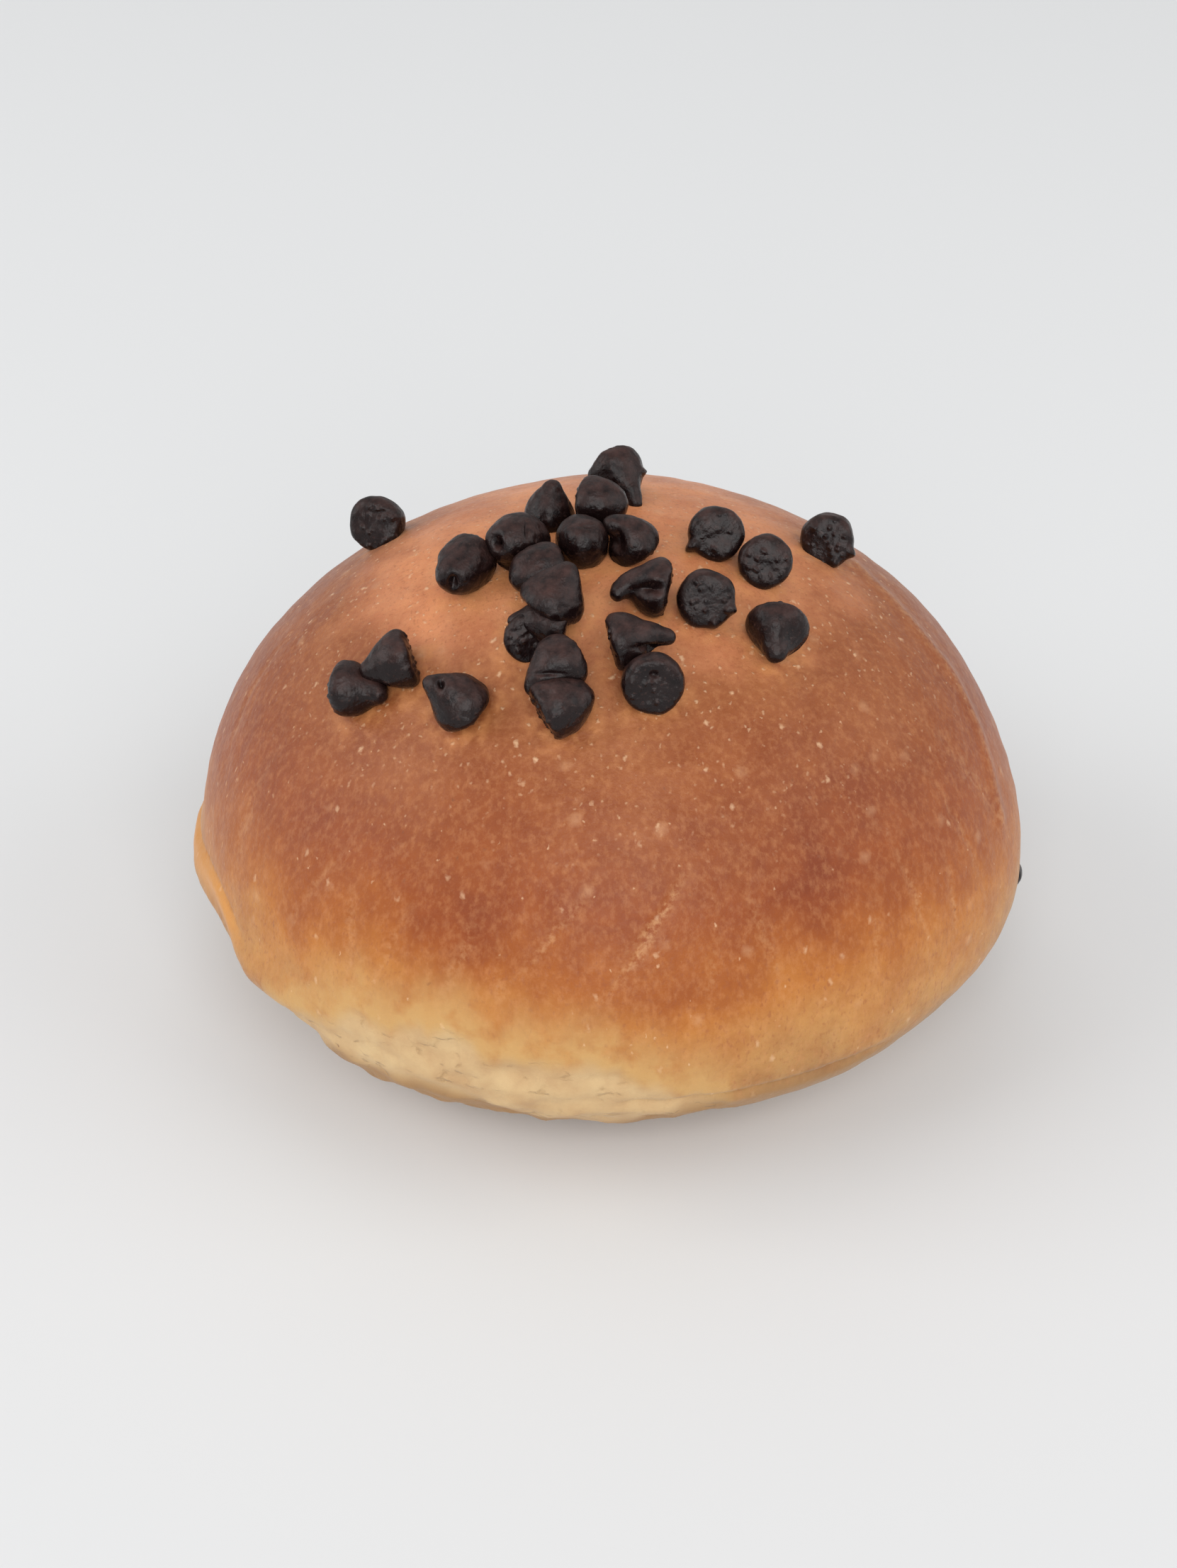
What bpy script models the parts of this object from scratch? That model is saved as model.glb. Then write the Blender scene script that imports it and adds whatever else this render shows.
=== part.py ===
"""Chocolate brioche: one domed bun with dark chocolate drops baked onto its crown.

Metres, +Z up. The origin is on the surface that the bun rests on, under the middle of its length
and width. +X runs to the right along the longer width, and -Y is the front. Bearings are degrees
about +Z from +X, so 90 is the back, 180 the left and 270 the front.
"""

import math

import bmesh
import bpy
from mathutils import Matrix, Vector, noise
from mathutils.bvhtree import BVHTree

MM = 0.001

# The bun: an oval dome above its waist, which turns under to a flat underside.
BUN_WIDTH = 103.2 * MM
BUN_DEPTH = 96.0 * MM
BUN_HEIGHT = 62.0 * MM
WAIST_HEIGHT = 18.0 * MM
BASE_RADIUS = 33.0 * MM
BASE_SHIFT = 6.0 * MM  # the underside lies this much towards the back
CROWN_SHIFT = 2.0 * MM  # and so does the crown
CORNER_SHARE = 0.012  # how far the oval's four corners fill out, as a share of its radius
CORNER_BEARING = 77.0
TUCK_SHARPNESS = 1.9  # 1 turns under in a quarter ellipse; more turns in faster below the waist
SWELL = 0.45 * MM  # slow unevenness of risen dough
SWELL_SIZE = 26.0 * MM

# The foot: a ledge of dough that spread on the tray, along the left of the waist.
FOOT_REACH = 2.1 * MM
FOOT_HEIGHT = 17.0 * MM
FOOT_HALF_THICKNESS = 1.7 * MM
FOOT_BEARINGS = (158.0, 172.0, 212.0, 236.0)  # grows over the first two, fades over the last two

# The chin: where the pale underside bulges forward, with a hollow on each side of it.
CHIN_BEARING = 267.0
CHIN_HALF_ANGLE = 7.0
CHIN_REACH = 1.5 * MM
CHEEKS = ((254.0, 6.0, -1.6 * MM), (221.0, 8.0, -1.5 * MM), (300.0, 9.0, -0.9 * MM))

# Meridians and rings of the bun's mesh: rings lie closest where the dough turns under.
BUN_MERIDIANS = 72
BUN_RINGS = 38
RING_STOPS = (0, 18, 34, 38)
POLAR_STOPS = (0.0, 82.0, 150.0, 180.0)
UNDERSIDE_POLAR = 150.0

# A drop: a flat round foot and a belly that draws in to a tip. Shares of its radius and height.
DROP_OUTLINE = (
    (0.00, 0.00),
    (0.52, 0.00),
    (0.88, 0.03),
    (1.00, 0.17),
    (0.95, 0.34),
    (0.78, 0.51),
    (0.55, 0.66),
    (0.35, 0.79),
    (0.22, 0.90),
    (0.11, 0.98),
    (0.00, 1.00),
)
DROP_SIDES = 12
CURL_START = 0.35  # share of the height below which a drop stays straight
DROP_LUMP = 0.22 * MM
DROP_LUMP_SIZE = 2.6 * MM
DROP_SINK = 0.9 * MM  # how far a drop has settled into the crust
SEAT_GAP = 0.3 * MM  # clearance between touching pieces

# Every drop: its spot on the crust seen from above (x, y, mm), or near the crust where it is stuck to
# the side (x, y, z, mm); its lift off the crust (mm);
# the bearing and elevation of its tip; the bearing and elevation that the tip curls towards and
# how far it curls; then its radius and height (mm). All angles are in degrees.
DROPS = (
    ((-27.4, 12.4), 0.0, (75, -20), (0, -90), 20, 3.4, 5.6),
    ((-16.0, -8.0), 0.2, (248, -8), (190, 20), 55, 3.3, 7.2),
    ((-10.4, -6.4), 0.0, (235, 30), (250, -90), 60, 3.5, 6.6),
    ((-7.0, 1.6), 0.0, (90, 85), (0, 0), 15, 3.1, 6.0),
    ((-1.1, -0.1), 0.3, (340, 5), (0, -90), 10, 3.3, 5.6),
    ((1.2, 8.4), 0.1, (300, -18), (290, -60), 25, 3.6, 7.6),
    ((-3.3, -6.9), 0.0, (268, 32), (0, 90), 15, 3.1, 5.8),
    ((2.0, -6.0), 0.0, (185, 60), (185, -20), 50, 3.1, 6.2),
    ((-7.7, -11.9), 0.0, (210, 10), (225, -90), 40, 3.2, 6.0),
    ((-5.8, -15.6), 1.4, (20, 62), (0, 0), 0, 3.4, 6.0),
    ((-7.2, -18.3), 0.3, (172, 18), (180, -90), 40, 2.6, 6.8),
    ((-9.1, -19.0), -0.3, (100, -20), (90, 90), 0, 2.8, 3.8),
    ((-5.9, -24.0), 1.0, (222, -6), (240, -90), 50, 3.3, 6.8),
    ((-5.3, -27.3), 0.0, (20, 22), (0, 90), 15, 3.4, 6.2),
    ((-16.4, -24.7), 0.0, (187, 50), (155, 10), 42, 3.4, 6.8),
    ((-27.7, -18.5), 0.0, (350, 5), (270, 0), 50, 3.3, 7.0),
    ((-23.3, -18.0), 0.0, (190, -15), (190, -90), 0, 3.4, 6.2),
    ((3.8, -13.9), 0.0, (185, 10), (270, -30), 60, 3.5, 7.2),
    ((2.0, -20.7), 0.3, (355, 14), (0, -90), 30, 3.3, 7.4),
    ((4.1, -24.8), 0.0, (95, -8), (0, 90), 15, 3.4, 5.4),
    ((11.8, -2.8), 0.0, (90, -24), (0, -90), 0, 3.2, 5.4),
    ((17.2, -5.7), 0.0, (90, -24), (0, -90), 0, 3.1, 5.4),
    ((10.1, -13.7), 0.0, (92, -18), (0, -90), 0, 3.3, 5.6),
    ((17.7, -16.4), 0.0, (262, -22), (0, -90), 0, 3.6, 6.0),
    ((25.2, 4.2), 0.0, (80, -18), (0, -90), 20, 3.2, 5.6),
    ((50.0, -4.0, 15.0), -3.0, (60, -10), (60, -90), 30, 3.2, 5.6),
    ((-13.0, 41.5), 0.0, (100, 0), (90, -90), 20, 3.3, 5.8),
    ((9.5, 40.5), 0.0, (60, 40), (0, 0), 35, 3.4, 6.2),
    ((29.0, 35.5), 0.0, (250, 10), (0, 90), 10, 3.3, 5.6),
    ((-33.0, 33.0), 0.0, (150, 20), (180, -60), 45, 3.4, 6.4),
    ((-1.5, 44.5), 0.0, (270, 20), (0, 0), 20, 3.2, 5.6),
)

CRUST_COLOUR = (0.46, 0.19, 0.075, 1.0)
CHOCOLATE_COLOUR = (0.022, 0.013, 0.011, 1.0)


def clear_scene():
    for obj in list(bpy.data.objects):
        bpy.data.objects.remove(obj)


def material(name, colour, roughness):
    made = bpy.data.materials.new(name)
    made.use_nodes = True
    shader = made.node_tree.nodes["Principled BSDF"]
    shader.inputs["Base Color"].default_value = colour
    shader.inputs["Roughness"].default_value = roughness
    shader.inputs["Metallic"].default_value = 0.0
    return made


def between(value, stops, results):
    """The result that belongs to value, on straight lines between the stops."""
    for low, high, start, end in zip(stops, stops[1:], results, results[1:]):
        if value <= high:
            return start + (end - start) * (value - low) / (high - low)
    return results[-1]


def ease(value, low, high):
    share = min(1.0, max(0.0, (value - low) / (high - low)))
    return share * share * (3.0 - 2.0 * share)


def hump(value, centre, half_width):
    return math.exp(-(((value - centre) / half_width) ** 2))


def waist_radius(bearing):
    """Distance from the axis to the oval waist, with its corners filled out a little."""
    turn = math.radians(bearing)
    half_width, half_depth = BUN_WIDTH / 2, BUN_DEPTH / 2
    oval = half_width * half_depth / math.hypot(half_depth * math.cos(turn), half_width * math.sin(turn))
    return oval * (1.0 + CORNER_SHARE * math.cos(4 * (turn - math.radians(CORNER_BEARING))))


def base_radius(bearing):
    return BASE_RADIUS + BASE_SHIFT * math.sin(math.radians(bearing))


def foot(bearing, height):
    """How far the foot stands out of the bun's side."""
    grow, full, fade, end = FOOT_BEARINGS
    along = ease(bearing, grow, full) * (1.0 - ease(bearing, fade, end))
    return FOOT_REACH * along * hump(height, FOOT_HEIGHT, FOOT_HALF_THICKNESS)


def chin(bearing, tuck):
    """How far the front of the tuck bulges out, or in; tuck is 0 at the waist and 1 underneath."""
    reach = CHIN_REACH * hump(bearing, CHIN_BEARING, CHIN_HALF_ANGLE)
    reach += sum(depth * hump(bearing, centre, half) for centre, half, depth in CHEEKS)
    return reach * hump(tuck, 0.75, 0.35)


def bun_point(bearing, polar):
    """A point of the bun's surface: polar is 0 at the crown, 90 at the waist and 180 underneath."""
    turn = math.radians(bearing)
    shift = 0.0
    if polar <= 90.0:
        lean = math.cos(math.radians(polar))
        radius = waist_radius(bearing) * math.sin(math.radians(polar))
        height = WAIST_HEIGHT + (BUN_HEIGHT - WAIST_HEIGHT) * lean
        shift = CROWN_SHIFT * lean
    elif polar <= UNDERSIDE_POLAR:
        tuck = (polar - 90.0) / (UNDERSIDE_POLAR - 90.0)
        under = math.radians(90.0 * tuck)
        spread = waist_radius(bearing) - base_radius(bearing)
        radius = base_radius(bearing) + spread * math.cos(under) ** TUCK_SHARPNESS + chin(bearing, tuck)
        height = WAIST_HEIGHT * (1.0 - math.sin(under))
    else:
        inward = (180.0 - polar) / (180.0 - UNDERSIDE_POLAR)
        radius = (base_radius(bearing) + chin(bearing, 1.0)) * inward
        height = 0.0
    radius += foot(bearing, height)
    return Vector((radius * math.cos(turn), radius * math.sin(turn) + shift, height))


def swollen(point):
    """The point moved in or out by the dough's slow unevenness, which dies out at the underside."""
    amount = SWELL * noise.noise(point / SWELL_SIZE) * ease(point.z, 0.0, WAIST_HEIGHT)
    return point * (1.0 + amount / max(point.length, BASE_RADIUS))


def bun_mesh():
    """A round ball of meridians and rings, each corner moved onto the bun's surface."""
    shape = bmesh.new()
    bmesh.ops.create_uvsphere(shape, u_segments=BUN_MERIDIANS, v_segments=BUN_RINGS, radius=1.0)
    for vert in shape.verts:
        ring = BUN_RINGS * math.acos(max(-1.0, min(1.0, vert.co.z))) / math.pi
        bearing = math.degrees(math.atan2(vert.co.y, vert.co.x)) % 360.0
        vert.co = swollen(bun_point(bearing, between(ring, RING_STOPS, POLAR_STOPS)))
    bmesh.ops.recalc_face_normals(shape, faces=shape.faces)
    mesh = bpy.data.meshes.new("bun")
    shape.to_mesh(mesh)
    shape.free()
    return mesh


def curl_path(height, curl):
    """Points and turns (radians) of a drop's own axis, from its foot to its tip, in the XZ plane."""
    place, reached, path = Vector((0.0, 0.0, 0.0)), 0.0, []
    for _, share in DROP_OUTLINE:
        turn = math.radians(curl) * ease(share, CURL_START, 1.0)
        place = place + Vector((math.sin(turn), 0.0, math.cos(turn))) * (share - reached) * height
        reached = share
        path.append((place, turn))
    return path


def drop_mesh(name, number, radius, height, curl):
    """One drop standing on its foot, its tip curled towards +X, with a lumpy skin."""
    path = curl_path(height, curl)
    rings = len(DROP_OUTLINE) - 1
    seed = Vector((number, 0.0, 0.0))
    shape = bmesh.new()
    bmesh.ops.create_uvsphere(shape, u_segments=DROP_SIDES, v_segments=rings, radius=1.0)
    for vert in shape.verts:
        ring = round(rings * math.acos(max(-1.0, min(1.0, -vert.co.z))) / math.pi)
        around = math.atan2(vert.co.y, vert.co.x)
        share = DROP_OUTLINE[ring][0]
        centre, turn = path[ring]
        outward = Vector((math.cos(around) * math.cos(turn), math.sin(around), 0.0))
        outward.z = -math.cos(around) * math.sin(turn)
        lump = DROP_LUMP * noise.noise((centre + outward * radius) / DROP_LUMP_SIZE + seed)
        vert.co = centre + outward * (radius + lump) * share
    bmesh.ops.recalc_face_normals(shape, faces=shape.faces)
    mesh = bpy.data.meshes.new(name)
    shape.to_mesh(mesh)
    shape.free()
    return mesh


def heading(bearing, elevation):
    """The unit vector that points along a bearing and an elevation."""
    turn, rise = math.radians(bearing), math.radians(elevation)
    return Vector((math.cos(rise) * math.cos(turn), math.cos(rise) * math.sin(turn), math.sin(rise)))


def drop_turn(tip, curl_to):
    """The rotation that takes a drop's axis to its tip's heading, and its curl towards curl_to."""
    axis = heading(*tip)
    side = heading(*curl_to)
    side = (side - axis * side.dot(axis)).normalized()
    return Matrix((side, axis.cross(side), axis)).transposed()


def crust_spot(crust, spot):
    """The point of the crust straight under a spot (x, y) or nearest to a spot (x, y, z), and its normal."""
    if len(spot) == 3:
        point, normal, _, _ = crust.find_nearest(Vector(spot) * MM)
    else:
        above = Vector((spot[0] * MM, spot[1] * MM, 2 * BUN_HEIGHT))
        point, normal, _, _ = crust.ray_cast(above, Vector((0.0, 0.0, -1.0)))
    return point, normal


def settle(obj, crust, spot, lift, tip, curl_to):
    """Turns a drop, centres it over its spot and lowers it until it has sunk into the crust."""
    turn = drop_turn(tip, curl_to)
    point, normal = crust_spot(crust, spot)
    corners = [turn @ vert.co for vert in obj.data.vertices]
    middle = sum(corners, Vector()) / len(corners)
    lowest = min((corner - middle).dot(normal) for corner in corners)
    obj.data.transform(turn.to_4x4())
    obj.data.transform(Matrix.Translation(point + normal * (lift * MM - DROP_SINK - lowest) - middle))


def inflated(obj, name, amount, cutters):
    """A hidden copy of a piece, grown outwards by an amount, to cut its neighbours back with."""
    shape = bmesh.new()
    shape.from_mesh(obj.data)
    shape.normal_update()
    grown = [vert.co + vert.normal * vert.calc_shell_factor() * amount for vert in shape.verts]
    for vert, place in zip(shape.verts, grown):
        vert.co = place
    mesh = bpy.data.meshes.new(name)
    shape.to_mesh(mesh)
    shape.free()
    cutter = bpy.data.objects.new(name, mesh)
    cutter.hide_render = True
    cutter.display_type = "WIRE"
    cutters.objects.link(cutter)
    return cutter


def cut_back(obj, cutter):
    cut = obj.modifiers.new(cutter.name, "BOOLEAN")
    cut.operation = "DIFFERENCE"
    cut.object = cutter


def tree_of(obj):
    shape = bmesh.new()
    shape.from_mesh(obj.data)
    tree = BVHTree.FromBMesh(shape)
    shape.free()
    return tree


def centre(parts, cutters):
    """Moves every piece so that the whole stands with the origin under the middle of its box."""
    bpy.context.view_layer.update()
    graph = bpy.context.evaluated_depsgraph_get()
    corners = [Vector(corner) for obj in parts.objects for corner in obj.evaluated_get(graph).bound_box]
    for axis in (0, 1):
        places = [corner[axis] for corner in corners]
        middle = (min(places) + max(places)) / 2
        for obj in list(parts.objects) + list(cutters.objects):
            obj.location[axis] -= middle


def main():
    clear_scene()
    parts = bpy.data.collections.new("chocolate_brioche")
    cutters = bpy.data.collections.new("cutters")
    for collection in (parts, cutters):
        bpy.context.scene.collection.children.link(collection)
    bun = bpy.data.objects.new("bun", bun_mesh())
    parts.objects.link(bun)
    bun.data.materials.append(material("crust", CRUST_COLOUR, 0.45))
    crust = tree_of(bun)
    crust_cutter = inflated(bun, "bun_clearance", SEAT_GAP, cutters)
    chocolate = material("chocolate", CHOCOLATE_COLOUR, 0.4)

    laid = []
    for number, (spot, lift, tip, curl_to, curl, radius, height) in enumerate(DROPS, start=1):
        name = f"drop_{number:02d}"
        drop = bpy.data.objects.new(name, drop_mesh(name, number, radius * MM, height * MM, curl))
        parts.objects.link(drop)
        drop.data.materials.append(chocolate)
        settle(drop, crust, spot, lift, tip, curl_to)
        tree = tree_of(drop)
        clearance = inflated(drop, name + "_clearance", SEAT_GAP, cutters)
        grown = tree_of(clearance)
        cut_back(drop, crust_cutter)
        for other_clearance, other_grown in laid:
            if tree.overlap(other_grown):
                cut_back(drop, other_clearance)
        laid.append((clearance, grown))
    for obj in parts.objects:
        obj.data.shade_smooth()
    centre(parts, cutters)


main()
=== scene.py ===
"""Chocolate brioche: a browned bun with dark chocolate drops baked onto its crown, on a pale floor."""

import math

import bmesh
import bpy
from mathutils import Matrix, Vector, geometry, noise
from mathutils.bvhtree import BVHTree


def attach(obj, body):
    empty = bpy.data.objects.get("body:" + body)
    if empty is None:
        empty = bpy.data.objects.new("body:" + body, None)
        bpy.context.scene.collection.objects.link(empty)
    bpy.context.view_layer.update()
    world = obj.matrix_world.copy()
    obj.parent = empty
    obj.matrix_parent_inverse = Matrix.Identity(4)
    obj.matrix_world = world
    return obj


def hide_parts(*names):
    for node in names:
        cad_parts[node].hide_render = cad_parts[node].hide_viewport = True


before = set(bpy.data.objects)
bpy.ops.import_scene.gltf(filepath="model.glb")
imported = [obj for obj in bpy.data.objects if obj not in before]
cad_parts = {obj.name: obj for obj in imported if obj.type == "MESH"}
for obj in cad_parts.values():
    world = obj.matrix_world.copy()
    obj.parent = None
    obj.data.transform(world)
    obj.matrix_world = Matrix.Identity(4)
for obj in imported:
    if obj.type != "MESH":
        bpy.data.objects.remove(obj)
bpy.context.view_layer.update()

# ---------------------------------------------------------------------------------------------
# The camera stands in front of the bun and looks down on it, from about a forearm's length.
# ---------------------------------------------------------------------------------------------
MM = 0.001
CAMERA_TARGET = Vector((-2.4 * MM, -0.4 * MM, 25.4 * MM))
CAMERA_TILT = math.radians(34.0)
CAMERA_DISTANCE = 270.0 * MM
CAMERA_LENS = 49.04
CAMERA_SENSOR = 36.0

bpy.ops.object.select_all(action="DESELECT")
away = Vector((0.0, -math.cos(CAMERA_TILT), math.sin(CAMERA_TILT)))
bpy.ops.object.camera_add(location=CAMERA_TARGET + away * CAMERA_DISTANCE)
camera = bpy.context.object
camera.name = "camera"
camera.rotation_euler = (math.radians(90.0) - CAMERA_TILT, 0.0, 0.0)
camera.data.sensor_fit = "VERTICAL"
camera.data.sensor_height = CAMERA_SENSOR
camera.data.lens = CAMERA_LENS
camera.data.clip_start = 10.0 * MM
bpy.context.scene.camera = camera
bpy.context.scene.view_settings.view_transform = "Standard"

# ---------------------------------------------------------------------------------------------
# The stage: a pale matte floor in a pale room, with a large soft lamp on each side. The one in
# front is the strongest, so that the shadow in front of the bun stays light.
# ---------------------------------------------------------------------------------------------
FLOOR_SIZE = 6.0
FLOOR_ROUGHNESS, FLOOR_SHINE = 0.9, 0.1
FLOOR_COLOUR = (0.787, 0.792, 0.797, 1.0)
ROOM_COLOUR = (0.985, 0.995, 1.0, 1.0)
ROOM_STRENGTH = 0.44
LAMPS = (
    ("lamp_front", (0.20, -2.50, 1.50), 2.6, 59.0),
    ("lamp_back", (-0.20, 1.00, 1.40), 1.4, 3.0),
    ("lamp_left", (-1.50, -0.20, 0.80), 1.4, 11.5),
    ("lamp_right", (1.50, -0.30, 0.80), 1.4, 7.6),
)

bpy.ops.mesh.primitive_plane_add(size=FLOOR_SIZE)
floor = bpy.context.object
floor.name = "floor"
floor_paint = bpy.data.materials.new("floor")
floor_paint.use_nodes = True
floor_shader = floor_paint.node_tree.nodes["Principled BSDF"]
floor_shader.inputs["Base Color"].default_value = FLOOR_COLOUR
floor_shader.inputs["Roughness"].default_value = FLOOR_ROUGHNESS
floor_shader.inputs["Specular IOR Level"].default_value = FLOOR_SHINE
floor.data.materials.append(floor_paint)

room = bpy.data.worlds.new("room")
room.use_nodes = True
room.node_tree.nodes["Background"].inputs["Color"].default_value = ROOM_COLOUR
room.node_tree.nodes["Background"].inputs["Strength"].default_value = ROOM_STRENGTH
bpy.context.scene.world = room

for name, place, size, power in LAMPS:
    bpy.ops.object.light_add(type="AREA", location=place)
    lamp = bpy.context.object
    lamp.name = name
    lamp.data.size = size
    lamp.data.energy = power
    lamp.rotation_euler = (CAMERA_TARGET - Vector(place)).to_track_quat("-Z", "Y").to_euler()

# ---------------------------------------------------------------------------------------------
# The bun: soft enriched dough, risen and baked into one dome. Its browned skin is smooth on the
# crown and finely creased down the flanks, and the foot that spread on the tray stayed pale.
# ---------------------------------------------------------------------------------------------
SKIN_VOXEL = 0.57 * MM

# Slow swells of the whole dome, and the fine pucker of its skin. They fade out towards the tray.
SWELL, SWELL_SIZE = 0.25 * MM, 17.0 * MM
PUCKER, PUCKER_SIZE = 0.09 * MM, 2.8 * MM
UNDERSIDE, SWELL_FADE, TORN_FADE = 0.3 * MM, (2.0 * MM, 12.0 * MM), (0.3 * MM, 2.5 * MM)

# Creases that run down the flanks: bearing (degrees from +X towards +Y), height of the middle,
# half width (degrees), half height, depth, and lean (degrees for each millimetre down).
CREASES = (
    (275.0, 34.5 * MM, 0.8, 5.0 * MM, 0.28 * MM, -1.0),
    (276.5, 36.5 * MM, 0.6, 3.0 * MM, 0.16 * MM, -1.4),
    (262.0, 35.0 * MM, 0.9, 4.5 * MM, 0.16 * MM, -1.05),
    (249.0, 31.0 * MM, 1.0, 5.0 * MM, 0.12 * MM, -0.40),
    (292.0, 33.0 * MM, 1.0, 7.0 * MM, 0.10 * MM, 0.30),
    (232.0, 29.0 * MM, 1.0, 6.0 * MM, 0.12 * MM, 0.25),
    (309.0, 29.0 * MM, 0.6, 5.0 * MM, 0.12 * MM, -0.25),
    (317.0, 31.0 * MM, 0.5, 6.0 * MM, 0.16 * MM, 0.15),
    (324.0, 28.0 * MM, 0.6, 5.0 * MM, 0.16 * MM, -0.10),
    (330.0, 34.0 * MM, 0.5, 7.0 * MM, 0.14 * MM, 0.20),
    (224.0, 33.0 * MM, 0.7, 5.0 * MM, 0.10 * MM, -0.60),
    (255.0, 30.0 * MM, 0.5, 3.5 * MM, 0.12 * MM, 0.20),
    (284.0, 31.0 * MM, 0.6, 4.0 * MM, 0.10 * MM, -0.30),
    (205.0, 32.0 * MM, 1.5, 9.0 * MM, 0.10 * MM, 0.20),
    (186.0, 41.0 * MM, 0.7, 5.0 * MM, 0.14 * MM, 0.80),
    (239.0, 31.0 * MM, 0.6, 5.0 * MM, 0.12 * MM, -0.40),
    (338.0, 38.0 * MM, 1.6, 9.0 * MM, 0.10 * MM, 0.35),
    (20.0, 28.0 * MM, 1.3, 8.0 * MM, 0.14 * MM, -0.30),
    (61.0, 27.0 * MM, 1.0, 8.0 * MM, 0.25 * MM, 0.30),
    (98.0, 30.0 * MM, 1.2, 9.0 * MM, 0.25 * MM, -0.25),
    (133.0, 27.0 * MM, 1.1, 8.0 * MM, 0.22 * MM, 0.20),
)
CREASE_SWAY, CREASE_SWAY_SIZE = 0.9, 1.4 * MM
CREASE_END, CREASE_SIDE = 2.0, 4.0  # in half sizes from its middle, where a crease has faded
CREASE_PALEST = 0.22 * MM  # a crease this deep shows all its paler colour

# The soft fold that runs down the right shoulder, as points (x, y, z, mm).
FOLD = (
    (30.0, 4.5, 54.0),
    (33.5, 1.0, 52.0),
    (37.5, -3.0, 48.5),
    (41.5, -6.0, 44.0),
    (43.5, -8.5, 41.0),
    (45.0, -12.5, 36.5),
    (46.5, -16.0, 31.0),
)
FOLD_RISE, FOLD_HALF, FOLD_SIDE = 0.38 * MM, 1.5 * MM, 25.0 * MM
# How strongly a paler highlight is painted along the shoulder's fold.
FOLD_PAINTED_HIGHLIGHT = 0.7

# The darker patches on the flank: bearing, height, half width (degrees) and half height.
SCORCHES = (
    (221.0, 35.5 * MM, 8.0, 4.5 * MM),
    (251.0, 34.0 * MM, 6.0, 4.0 * MM),
    (299.0, 36.0 * MM, 9.0, 5.0 * MM),
    (308.0, 44.0 * MM, 9.0, 5.0 * MM),
    (40.0, 38.0 * MM, 10.0, 5.0 * MM),
    (115.0, 36.0 * MM, 9.0, 5.0 * MM),
)

# The pale band low on the front and the back, where the dough tore open and never browned: its
# upper edge, as bearing and height, and the height of the rim on the tray, browned and partly in painted
# shade.
BAND_EDGE = (
    (0.0, 8.0 * MM),
    (35.0, 11.0 * MM),
    (70.0, 18.0 * MM),
    (100.0, 17.0 * MM),
    (135.0, 19.0 * MM),
    (160.0, 8.0 * MM),
    (212.0, 8.0 * MM),
    (222.0, 16.0 * MM),
    (237.0, 20.5 * MM),
    (248.0, 22.5 * MM),
    (255.0, 20.0 * MM),
    (267.0, 20.5 * MM),
    (281.0, 15.5 * MM),
    (292.0, 9.0 * MM),
    (360.0, 8.0 * MM),
)
BAND_WANDER, BAND_WANDER_SIZE = 1.3 * MM, 4.5 * MM
BAND_RIPPLE, BAND_RIPPLE_RATE = 0.6, 3.1
BAND_BLUR = 1.5 * MM
BAND_CEILING = 26.0 * MM
TORN_DEPTH, TORN_GRAIN, TORN_SQUASH = 0.55 * MM, 4.2 * MM, 1.7
TORN_FINE, TORN_FINE_RATE = 0.35, 2.3
TORN_RIDGE, TORN_RIDGE_RATE = 0.8, 0.6
LIP_DEPTH = 0.32 * MM
GLOW_START, GLOW_HEIGHT = 1.0 * MM, 10.5 * MM
GLOW_CEILING, GLOW_LEAST = 34.0 * MM, 12.0 * MM
RIM_TOP, RIM_BLUR = 13.6 * MM, 1.5 * MM
CHIN, CHIN_HALF, CHIN_DIP = 267.0, 10.0, 5.5 * MM

# The ledge on the left, where the dough spread and folded: a groove along its top.
LEDGE_BEARINGS = (168.0, 176.0, 204.0, 214.0)
LEDGE_TOP, LEDGE_RISE = 19.6 * MM, 2.8 * MM
LEDGE_MIDDLE, LEDGE_SPREAD = 199.0, 12.0
LEDGE_GROOVE, LEDGE_GROOVE_HALF = 0.5 * MM, 0.6 * MM
LEDGE_TUCK, TUCK_BEARINGS, TUCK_DROP = 1.3 * MM, (186.0, 202.0), (1.0 * MM, 4.0 * MM)
LEDGE_FACE = (-0.3 * MM, 0.4 * MM, 1.5 * MM, 5.0 * MM)

# The foot itself, which stands out a little at the front and most at the front left.
FOOT_BEARINGS = (219.0, 230.0, 300.0, 332.0)
FOOT_LEVELS = (0.5 * MM, 4.0 * MM, 11.0 * MM, 19.0 * MM)
FOOT_REACH = 0.90 * MM
FOOT_CORNER, FOOT_CORNER_HALF, FOOT_CORNER_REACH = 233.0, 9.0, 0.45 * MM

# The thin slab of dough that turned under along the front right, over a narrow gap.
SLAB_BEARINGS = (268.0, 275.0, 300.0, 316.0)
SLAB_LEVEL, SLAB_HALF, SLAB_DEPTH = 14.4 * MM, 0.55 * MM, 0.85 * MM


def ease(value, low, high):
    """0 up to low and 1 from high on, with a smooth rise between them."""
    share = min(1.0, max(0.0, (value - low) / (high - low)))
    return share * share * (3.0 - 2.0 * share)


def hump(value, centre, half_width):
    """1 at the centre, falling off smoothly on both sides."""
    return math.exp(-(((value - centre) / half_width) ** 2))


def turn_between(bearing, other):
    """The turn in degrees, from -180 to 180, that takes one bearing to another."""
    return (bearing - other + 180.0) % 360.0 - 180.0


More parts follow.
